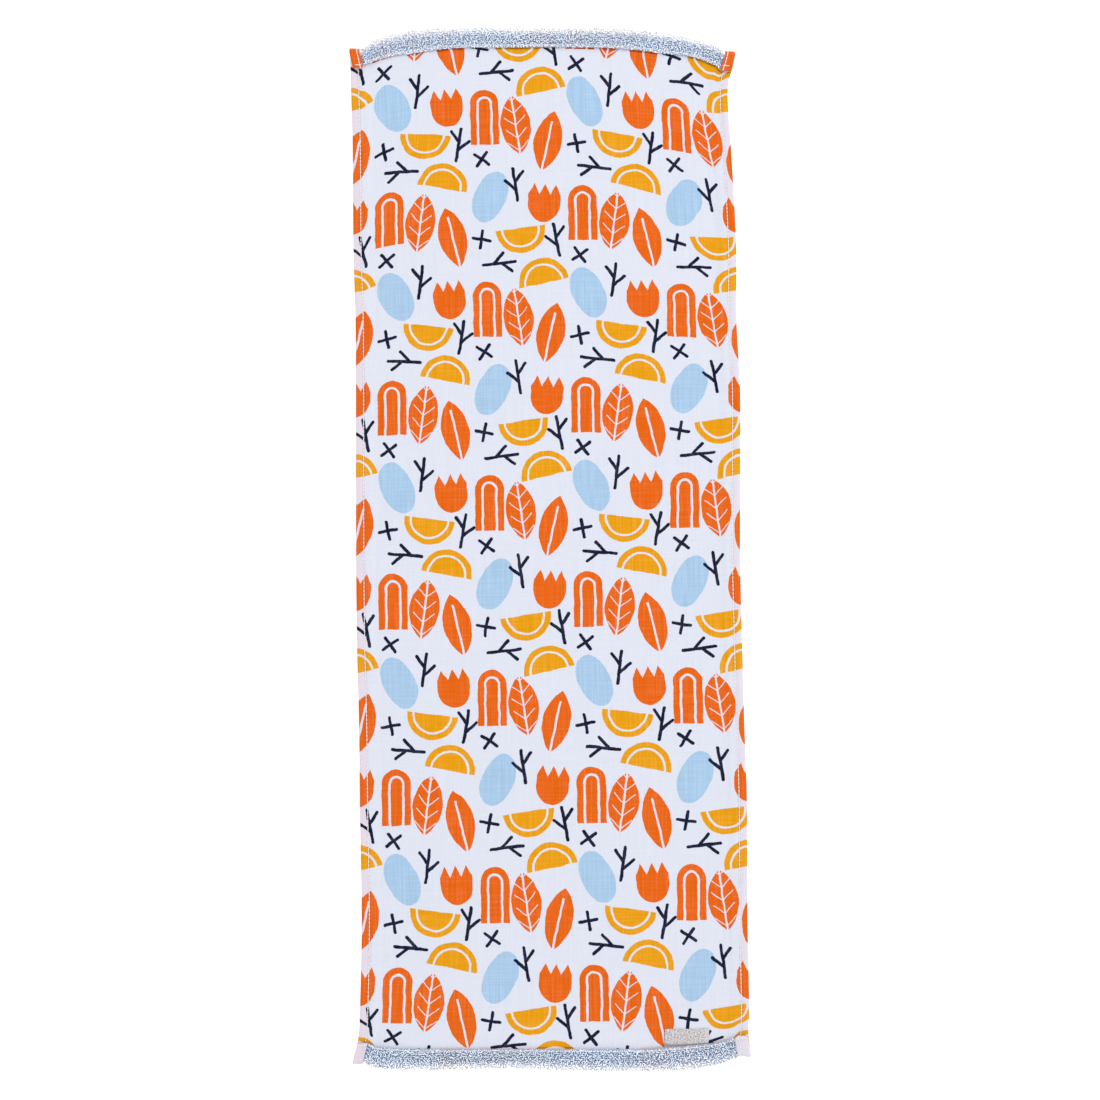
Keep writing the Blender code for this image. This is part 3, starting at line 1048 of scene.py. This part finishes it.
def terry_colour(net, cloth, tip, shade):
    """Pale blue yarn, with painted shade towards its root. Painted light makes it paler round the end
    folds, less so in the bottom's corners, and it is paler at the cut edges. The print shows through
    as a tint, most at the root. Each loop's own shade makes it lighter or darker, more so at the
    bottom, and so do slow patches."""
    s, t = net.split(cloth)
    bottom = t.ramp(0.0, -0.1)
    from_fold = abs(abs(t) - (END_FLAT + FOLD_LENGTH / 2))
    in_corner = bottom * abs(s).ramp(0.105, 0.150, 0.0, 0.5)
    # Painted light: the yarn is made paler round the end folds, and it is paler at the cut edges too.
    at_fold = from_fold.ramp(PALE_REACH, 0.0, 0.0, 0.95) * (1.0 - in_corner)
    cut_edge = (TOP_CUT - t).at_most(t + BOTTOM_CUT)
    pale = at_fold.at_least(cut_edge.ramp(3.5 * MM, 0.0, 0.0, 0.3))
    # Painted shade: the yarn is darker towards its root, where the loops shade it.
    yarn = net.mix(pale, net.mix(tip, TERRY_ROOT_SHADE, TERRY_BLUE), TERRY_PALE)
    printed = net.use(PRINTED_CLOTH, Cloth=cloth, Edge=2.2)
    tinted = net.mix(printed["Ink"] * tip.ramp(0.0, 1.0, 0.12, 0.03), yarn, printed["Colour"])
    lightness = (shade - 0.5) * (bottom * 0.15 + TERRY_UNEVEN)
    # The painted light round the end folds also raises the lightness there.
    lightness = lightness + bottom * -0.045 + 1.055 + pale * 0.26
    patches = net.noise(cloth * TO_MM, 0.06).ramp(0.3, 0.7, 0.965, 1.02)
    return {"Colour": tinted * (lightness * patches)}


TERRY_COLOUR = new_group("terry colour", {"Cloth": NO_PLACE, "Tip": 1.0, "Shade": 0.5}, terry_colour)


def terry_material():
    """The back's pile: round cells the size of a loop, each with its own height and shade, and painted
    shade of the roots between them. Under the real loops only the painted root shade shows, darker."""
    material, net, shader = new_material("terry_pile", {"Roughness": 0.95, "Sheen Weight": 0.4})
    cloth = net.cloth()
    place = cloth * TO_MM
    pile = {"Vector": place, "Scale": 0.72, "Randomness": 0.9}
    from_middle = net.node("ShaderNodeTexVoronoi", pile, "Distance")
    own, _ = net.split(from_middle.beside("Color"))
    hump = from_middle.ramp(0.62, 0.05)
    height = hump * (own * 0.5 + 0.7) + net.noise(place, 2.6, 4.0, 0.7)
    # Painted shade: where the real loops stand, the sheet takes the dark colour of the roots.
    open_pile = 1.0 - net.attribute("under_loop_shade")
    shade = net.use(TERRY_COLOUR, Cloth=cloth, Tip=hump * open_pile, Shade=own * open_pile)
    dress(net, shader, shade["Colour"], height, 0.0009)
    return material


def loop_material():
    """The real loops carry their own tip and shade at each point, and only a fine fibre bump. Light
    goes a little way into the soft yarn."""
    finish = {"Roughness": 0.95, "Sheen Weight": 0.4, "Subsurface Weight": 0.5}
    finish |= {"Subsurface Scale": 0.0009, "Subsurface Radius": (1.0, 1.0, 1.0)}
    material, net, shader = new_material("terry_loops", finish)
    carried = {"Cloth": net.cloth(), "Tip": net.attribute("tip"), "Shade": net.attribute("shade")}
    fibres = net.noise(net.node("ShaderNodeTexCoord", output="Object"), 5200.0, 2.0, 0.6)
    dress(net, shader, net.use(TERRY_COLOUR, **carried)["Colour"], fibres, 0.00012)
    return material


# %% The terry sheet
SHEET_UNDER_LOOPS = 0.10
# How much painted shade the sheet gets under the real loops.
UNDER_LOOP_SHADE = 0.5


def in_band(s, t):
    """1 where the real loops stand: from just under the outer fold to the cut edge, between the
    side hems."""
    past_fold = smooth((np.abs(t) - (END_FLAT - 3 * MM)) / (1.5 * MM))
    between = smooth((HALF_WIDTH - SIDE_HEM + 1 * MM - np.abs(s)) / (1 * MM))
    return past_fold * between


def terry_sheet():
    """The sheet, thinner where real loops stand on it, with how much painted shade they give it at each
    point.
    """
    s, t = BACK_S, BACK_T
    height = both_faces(s, t) * edge_rounding(s, t) * (1 - (1 - SHEET_UNDER_LOOPS) * in_band(s, t))
    # Painted shade: the sheet is darkened where the real loops stand on it.
    return make_mesh(
        "terry_back",
        laid(s, t, -height).reshape(-1, 3),
        [grid_faces(*s.shape, flip=True)],
        flat_uv(s, t),
        {"under_loop_shade": UNDER_LOOP_SHADE * in_band(s, t).ravel()},
    )


terry = terry_sheet()
terry.data.materials.append(terry_material())

# %% [markdown]
# ## Real loops in the bands
#
# A loop is a short path of yarn that rises from the ground cloth, leans a little, and goes back.
# All loops of a band are worked out at once: an array of roots, an array of directions, and one
# tube carried along every path. They are made on the flat cloth and folded with it, so they turn
# round the outer edge of the hem on their own.

# %% Tubes along many paths
def tubes(paths, sides, radii, ring):
    """A tube of ring corners along each path. At every point of a path, one axis of the tube is the
    path's side direction and the other is square to that and to the path. Returns points and faces."""
    count, steps, _ = paths.shape
    forward = np.gradient(paths, axis=1)
    forward /= np.linalg.norm(forward, axis=2, keepdims=True)
    side = np.broadcast_to(sides[:, None, :], paths.shape)
    up = np.cross(side, forward)
    angle = 2 * math.pi * np.arange(ring) / ring
    wide = side[:, :, None, :] * np.cos(angle)[:, None]
    high = up[:, :, None, :] * np.sin(angle)[:, None]
    points = paths[:, :, None, :] + radii[..., None, None] * (wide + high)
    index = np.arange(count * steps * ring).reshape(count, steps, ring)
    beside = np.roll(index, -1, axis=2)
    quads = np.stack([index[:, :-1], index[:, 1:], beside[:, 1:], beside[:, :-1]], axis=-1).reshape(-1, 4)
    caps = np.concatenate([index[:, 0], index[:, -1, ::-1]])
    return points, [quads, caps]


# %% The loops
LOOP_PITCH = 1.75 * MM
FOLD_PITCH = 1.0 * MM
LOOP_HEIGHT = 1.6 * MM
TUFT = 1.5 * MM
YARN_RADIUS = 0.42 * MM
LOOP_STEPS = 7
LOOP_RING = 5
ROOT_STRAY = 0.28
CUT_MARGIN = 0.1 * MM


def loop_roots(end, cut_end, side, rng):
    """Roots of the loops on one half of a band: a lattice with every second line moved by half a
    pitch and closer lines round the fold. Each root strays at random by up to a share of a pitch."""
    width = HALF_WIDTH - SIDE_HEM - 0.4 * MM
    last = cut_end - CUT_MARGIN
    folded = np.arange(END_FLAT - 1.8 * MM, END_FLAT + FOLD_LENGTH, FOLD_PITCH)
    lines = np.concatenate([folded, np.arange(folded[-1] + LOOP_PITCH, last, LOOP_PITCH)])
    s, t = np.meshgrid(np.arange(LOOP_PITCH / 4, width, LOOP_PITCH), lines)
    s = s + LOOP_PITCH / 2 * (np.arange(len(lines)) % 2)[:, None]
    s = np.clip(s + rng.uniform(-ROOT_STRAY, ROOT_STRAY, s.shape) * LOOP_PITCH, 0, width)
    t = np.minimum(t + rng.uniform(-ROOT_STRAY, ROOT_STRAY, t.shape) * LOOP_PITCH, last)
    return side * s.ravel(), end * t.ravel()


def room_below(t):
    """How far the terry's side may stand out at a place before it meets the surface that the towel
    lies on: half the cloth in the body, and round the fold more, by one over the turn's cosine."""
    turn = np.clip((np.abs(t) - END_FLAT) / FOLD_RADIUS, 0, 1.4)
    return (FOLD_RADIUS + HEM_THICKNESS / 2) / np.cos(turn) - FOLD_RADIUS


def band_of_loops(name, end, cut_end, side, seed):
    """A loop's path is an arch: it rises by a power of a sine and leans. Smooth noise a tuft wide
    sets how tall it is and which way it leans, so neighbours clump together. Loops are low along
    the seam, and those at the cut edge lean out over it. Under the fold, a loop rises no further
    than the surface that the towel lies on."""
    rng = np.random.default_rng(seed)
    s, t = loop_roots(end, cut_end, side, rng)
    count = len(s)
    from_edge = cut_end - np.abs(t)
    tuft = [soft_noise(s, t, TUFT, TUFT, seed + k) for k in range(3)]
    at_fold = smooth(1 - np.abs(np.abs(t) - END_FLAT - FOLD_LENGTH / 2) / PALE_REACH)
    tall = LOOP_HEIGHT * (1 + 0.12 * tuft[0] + rng.uniform(-0.25, 0.25, count)) * (1 + 0.1 * at_fold)
    tall *= 1 - 0.32 * near(from_edge - END_SEAM, 0.6 * MM)
    heading = rng.uniform(0, math.pi, count)
    foot = rng.uniform(1.15, 1.9, count) * MM
    lean = rng.normal(0, 0.28, (count, 2)) * MM
    lean += 0.3 * MM * np.stack([tuft[1], tuft[2]], axis=1)
    lean[:, 1] += end * 0.4 * MM * smooth(1 - from_edge / (1.6 * MM))
    u = np.linspace(0, 1, LOOP_STEPS)[None, :]
    rise = np.sin(math.pi * u) ** 0.8
    along = foot[:, None] * (u - 0.5) * (1 + 0.9 * rise)
    ds = along * np.cos(heading)[:, None] + lean[:, :1] * rise**1.4
    dt = along * np.sin(heading)[:, None] + lean[:, 1:] * rise**1.4
    up = 0.1 * MM - np.minimum(tall[:, None] * rise, room_below(t[:, None] + dt) - YARN_RADIUS)
    paths = np.stack([s[:, None] + ds, t[:, None] + dt, up], axis=2)
    sides = np.stack([-np.sin(heading), np.cos(heading), 0 * heading], axis=1)
    thick = YARN_RADIUS * rng.uniform(0.85, 1.20, count)
    radii = thick[:, None] * np.ones(LOOP_STEPS)
    points, faces = tubes(paths, sides, radii, LOOP_RING)
    each = points.reshape(-1, 3)
    each[:, 2] = np.maximum(each[:, 2], -room_below(each[:, 1]))
    root = np.repeat(np.stack([s, t], axis=1), LOOP_STEPS * LOOP_RING, axis=0)
    tip = np.clip(-each[:, 2] / LOOP_HEIGHT, 0, 1)
    shade = np.repeat(rng.uniform(0, 1, count), LOOP_STEPS * LOOP_RING)
    return make_mesh(name, laid(*each.T), faces, root, {"tip": tip, "shade": shade})


LOOPS = loop_material()
bands = [
    band_of_loops("hem_loops_top_left", 1, TOP_CUT, -1, 21),
    band_of_loops("hem_loops_top_right", 1, TOP_CUT, 1, 22),
    band_of_loops("hem_loops_bottom_left", -1, BOTTOM_CUT, -1, 23),
    band_of_loops("hem_loops_bottom_right", -1, BOTTOM_CUT, 1, 24),
]
for band in bands:
    band.data.materials.append(LOOPS)

# %% [markdown]
# ## Sewing
#
# A seam is a row of separate stitches, each a short length of thread that dives into the cloth at
# both ends. The side seams show on the face and, once the ends are turned over, on the corner
# strips. The end seams lie in the pile, and cross the corner strips too.

# %% Stitches
STITCH = 3.45 * MM
STITCH_GAP = 0.28 * MM
THREAD_RADIUS = 0.46 * MM
STITCH_STEPS = 5


def seam_stitches(start, end, height, rng):
    """Paths of the stitches between two flat points. Each rises to its middle by a sine and strays
    a little. height is that of the thread's middle above the cloth's, with its sign for its side."""
    start, end = np.array(start), np.array(end)
    run = end - start
    length = np.linalg.norm(run)
    count = max(1, int(length / STITCH))
    forward = run / length
    aside = np.array([-forward[1], forward[0]])
    u = np.linspace(0, 1, STITCH_STEPS)[None, :]
    first = (np.arange(count)[:, None] + STITCH_GAP / STITCH / 2) * length / count
    reach = (length / count - STITCH_GAP) * u
    stray = rng.uniform(-0.12, 0.12, (count, 1)) * MM * (2 * u - 1)
    flat = start + (first + reach)[..., None] * forward + stray[..., None] * aside
    bulge = height * (0.72 + 0.28 * np.sin(math.pi * u)) * np.ones((count, 1))
    paths = np.concatenate([flat, bulge[..., None]], axis=2)
    sides = np.tile([*aside, 0.0], (count, 1))
    taper = 1 - 0.35 * np.abs(2 * u - 1) ** 3
    return paths, sides, THREAD_RADIUS * taper * np.ones((count, 1))


def thread_piece(name, seams, seed):
    """One mesh of every stitch of the given seams, each given as start, end and height."""
    rng = np.random.default_rng(seed)
    made = [seam_stitches(*seam, rng) for seam in seams]
    paths, sides, radii = (np.concatenate(part) for part in zip(*made))
    points, faces = tubes(paths, sides, radii, 6)
    each = points.reshape(-1, 3)
    return make_mesh(name, laid(*each.T), faces, each[:, :2])


def thread_material():
    """White thread, with bands for the turns of its plies."""
    material, net, shader = new_material("white_thread", {"Roughness": 0.6, "Sheen Weight": 0.15})
    place = net.node("ShaderNodeTexCoord", output="Object")
    twist = {"Vector": place, "Scale": 900.0, "Distortion": 1.5}
    ply = net.node("ShaderNodeTexWave", twist, "Fac", wave_type="BANDS")
    dress(net, shader, net.mix(ply, colour(220, 218, 223), colour(237, 236, 238)), ply, 0.00006)
    return material


# %% [markdown]
# The end seams also cross the corners' strips. A hand guides the cloth there, so each crossing has
# its own place: how far it lies from the strip's cut end, at the strip's outer edge and at its
# inner one.

# %% Seams
HEM_FACE = HEM_THICKNESS / 2
CROSSINGS = table(
    ("end", "side", "outer", "inner"),
    (
        (1, -1, 3.6 * MM, 3.0 * MM),
        (1, 1, 5.2 * MM, 4.6 * MM),
        (-1, -1, 2.8 * MM, 2.2 * MM),
        (-1, 1, 3.2 * MM, 3.0 * MM),
    ),
)


def side_seams(side):
    """A side seam as it shows on the face, and on the corners' strips once the cloth is folded."""
    on_face = ((side * SEAM_S, -INNER_BOTTOM), (side * SEAM_S, INNER_TOP), HEM_FACE - 0.25 * MM)
    on_strip = ((side * STRIP_SEAM_S, -BOTTOM_CUT), (side * STRIP_SEAM_S, TOP_CUT), HEM_FACE + 0.1 * MM)
    return [on_face, on_strip]


def end_seams(end, cut_end, inner):
    """The seam of an end in the pile, the same seam on the back, and its stitches on the strips."""
    seam_t = end * (cut_end - END_SEAM)
    inside = HALF_WIDTH - SIDE_HEM
    under_t = end * (inner + END_SEAM)
    in_pile = ((-inside, seam_t), (inside, seam_t), -HEM_FACE + 0.05 * MM)
    under = ((-inside, under_t), (inside, under_t), -HEM_FACE)
    across = (STRIP_START + 0.4 * MM, SIDE_CUT - 0.3 * MM)
    crossings = []
    for crossing in CROSSINGS:
        if crossing["end"] == end:
            far_in = (crossing["outer"], crossing["inner"])
            places = [(crossing["side"] * s, end * (cut_end - t)) for s, t in zip(across, far_in)]
            crossings.append((*places, HEM_FACE + 0.12 * MM))
    return [in_pile, under, *crossings]


THREAD = thread_material()
threads = [
    thread_piece("side_stitches_left", side_seams(-1), 31),
    thread_piece("side_stitches_right", side_seams(1), 32),
    thread_piece("end_stitches_top", end_seams(1, TOP_CUT, INNER_TOP), 33),
    thread_piece("end_stitches_bottom", end_seams(-1, BOTTOM_CUT, INNER_BOTTOM), 34),
]
for thread in threads:
    thread.data.materials.append(THREAD)

# %% [markdown]
# ## The label
#
# A short piece of satin tape lies on the face with its lower edge caught under the hem. It is
# bare. Its two sides are cut and sealed, and curl up a little.

# %% The label's tape
TAPE_LENGTH = LABEL_SHOWN + LABEL_TAIL


def label_points(a, b, height):
    """Turns the tape by its small angle, lays it on the cloth's face, and lifts it by a height."""
    middle_t = BOTTOM_HEM - HALF_LENGTH - LABEL_TAIL + TAPE_LENGTH / 2
    s = LABEL_X + a * math.cos(LABEL_TURN) - b * math.sin(LABEL_TURN)
    t = middle_t + a * math.sin(LABEL_TURN) + b * math.cos(LABEL_TURN)
    return laid(s, t, thickness(s, t) / 2 + LAYER_GAP + height)


def closed_tape(name, half_a, half_b, cells_a, cells_b):
    """A thin closed tape: its upper and lower grids, with its rims joined round a half circle."""
    a, b = np.meshgrid(np.linspace(-1, 1, cells_a + 1), np.linspace(-1, 1, cells_b + 1))
    rim = np.maximum(np.abs(a) ** 24, np.abs(b) ** 24)
    half = LABEL_THICKNESS / 2 * (1 - 0.75 * rim)
    curl = 0.35 * MM * np.abs(a) ** 10 * smooth((b + 0.4) / 0.6)
    middle = LABEL_THICKNESS / 2 + curl
    layers = [label_points(a * half_a, b * half_b, middle + side * half) for side in (1, -1)]
    points = np.concatenate([layer.reshape(-1, 3) for layer in layers])
    count = a.size
    index = np.arange(count).reshape(a.shape)
    border = np.concatenate([index[0, :-1], index[:-1, -1], index[-1, :0:-1], index[:0:-1, 0]])
    after = np.roll(border, -1)
    rims = np.stack([border, border + count, after + count, after], axis=1)
    faces = [grid_faces(*a.shape), grid_faces(*a.shape, flip=True) + count, rims]
    uv = np.tile(flat_uv(a * half_a, b * half_b), (2, 1))
    return make_mesh(name, points, faces, uv)


LABEL_RIB = 0.45 * MM
TAPE_DEEP = colour(150, 145, 147)
TAPE_PALE = colour(209, 205, 206)
TAPE_FOLDED = colour(206, 202, 210)
# The darkest colour is painted shade, for the far end and under the band's edge.
TAPE_PAINTED_SHADE = colour(96, 92, 97)


def label_material():
    """Satin tape: fine ribs across it and a soft gloss. One end is folded under, so it is paler. The
    other end has painted shade, and the tape has a painted shadow where it goes under the band."""
    material, net, shader = new_material("label_satin", {"Roughness": 0.42, "Sheen Weight": 0.1})
    cloth = net.cloth()
    u, v = net.split(cloth)
    ribs = (v * (2 * math.pi / LABEL_RIB)).by("SINE")
    grain = net.noise(cloth * (200.0, 2600.0, 0.0), 1.0, 3.0)
    crossed = net.noise(cloth * (720.0, 950.0, 0.0), 1.0, 1.0)
    tape = net.mix(crossed.ramp(0.35, 0.65), TAPE_DEEP, TAPE_PALE)
    folded_end = u.ramp(LABEL_WIDTH / 2 - 3.8 * MM, LABEL_WIDTH / 2 - 3.0 * MM, 0.0, 0.5)
    # Painted shade along the far end, and a painted shadow where the band's edge lies on the tape.
    painted_end_shade = u.ramp(1.2 * MM - LABEL_WIDTH / 2, -LABEL_WIDTH / 2, 0.0, 0.5)
    from_band = abs(v - (LABEL_TAIL + 1.9 * MM - TAPE_LENGTH / 2))
    painted_contact_shadow = from_band.ramp(1.7 * MM, 0.6 * MM, 0.0, 1.1) * crossed
    shade = net.mix(painted_end_shade.at_least(painted_contact_shadow), net.mix(folded_end, tape, TAPE_FOLDED), TAPE_PAINTED_SHADE)
    dress(net, shader, shade, ribs * 0.3 + grain, 0.00005)
    return material


label_tape = closed_tape("label_tape", LABEL_WIDTH / 2, TAPE_LENGTH / 2, 76, 38)
label_tape.data.materials.append(label_material())

# %% [markdown]
# ## The studio
#
# A plain white floor, an even white sky and one large soft light. The towel is seen from almost
# straight above.

# %% Floor, light and camera
FLOOR_HALF = 3.0
FLOOR_GLOW = 0.35
WHITE = (1.0, 1.0, 1.0, 1.0)
SKY_BRIGHTNESS = 1.07
LIGHT_PLACE = Vector((1.6, 1.4, 3.2))
LIGHT_SIZE = 1.8
LIGHT_POWER = 40.5
CAMERA_DISTANCE = 2.2
CAMERA_ELEVATION = math.radians(86.5)
CAMERA_ROLL = math.radians(-0.82)
CAMERA_AIM = Vector((0.00325, -0.0060, 0.0))
FRAME_WIDTH = 0.948


def studio_floor():
    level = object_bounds()[0][2] - 0.2 * MM
    corners = np.array([(x, y, level) for x, y in ((-1, -1), (1, -1), (1, 1), (-1, 1))])
    corners[:, :2] *= FLOOR_HALF
    floor = make_mesh("floor", corners, [np.array([[0, 1, 2, 3]])])
    finish = {"Roughness": 0.9, "Base Color": colour(250, 250, 251)}
    finish |= {"Emission Color": WHITE, "Emission Strength": FLOOR_GLOW}
    floor.data.materials.append(new_material("white_floor", finish)[0])


def studio_sky():
    world = bpy.data.worlds.new("studio")
    world.use_nodes = True
    sky = world.node_tree.nodes["Background"]
    sky.inputs["Color"].default_value = WHITE
    sky.inputs["Strength"].default_value = SKY_BRIGHTNESS
    bpy.context.scene.world = world


def studio_light():
    data = bpy.data.lights.new("key", "AREA")
    data.size = LIGHT_SIZE
    data.energy = LIGHT_POWER
    light = placed("key", data)
    light.location = LIGHT_PLACE
    light.rotation_euler = (-LIGHT_PLACE).to_track_quat("-Z", "Y").to_euler()


def studio_camera():
    data = bpy.data.cameras.new("camera")
    data.sensor_width = 36.0
    data.lens = data.sensor_width * CAMERA_DISTANCE / FRAME_WIDTH
    camera = placed("camera", data)
    back = Vector((0, -math.cos(CAMERA_ELEVATION), math.sin(CAMERA_ELEVATION)))
    camera.location = CAMERA_AIM + CAMERA_DISTANCE * back
    level = Euler((math.pi / 2 - CAMERA_ELEVATION, 0, 0)).to_matrix()
    camera.rotation_euler = (level @ Euler((0, 0, CAMERA_ROLL)).to_matrix()).to_euler()
    bpy.context.scene.camera = camera


studio_floor()
studio_sky()
studio_light()
studio_camera()
bpy.context.scene.view_settings.view_transform = "Standard"

# %% [markdown]
# ## The pieces on the towel's body
#
# Each piece rides on the towel's one body, and says which material it has. The gauze and the terry
# stand for the cloth's solid, and the tape for the label's.

# %% Ride and replace
for piece in (gauze, terry, *bands, *threads, label_tape):
    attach(piece, "root")
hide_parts("towel_cloth")
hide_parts("label")
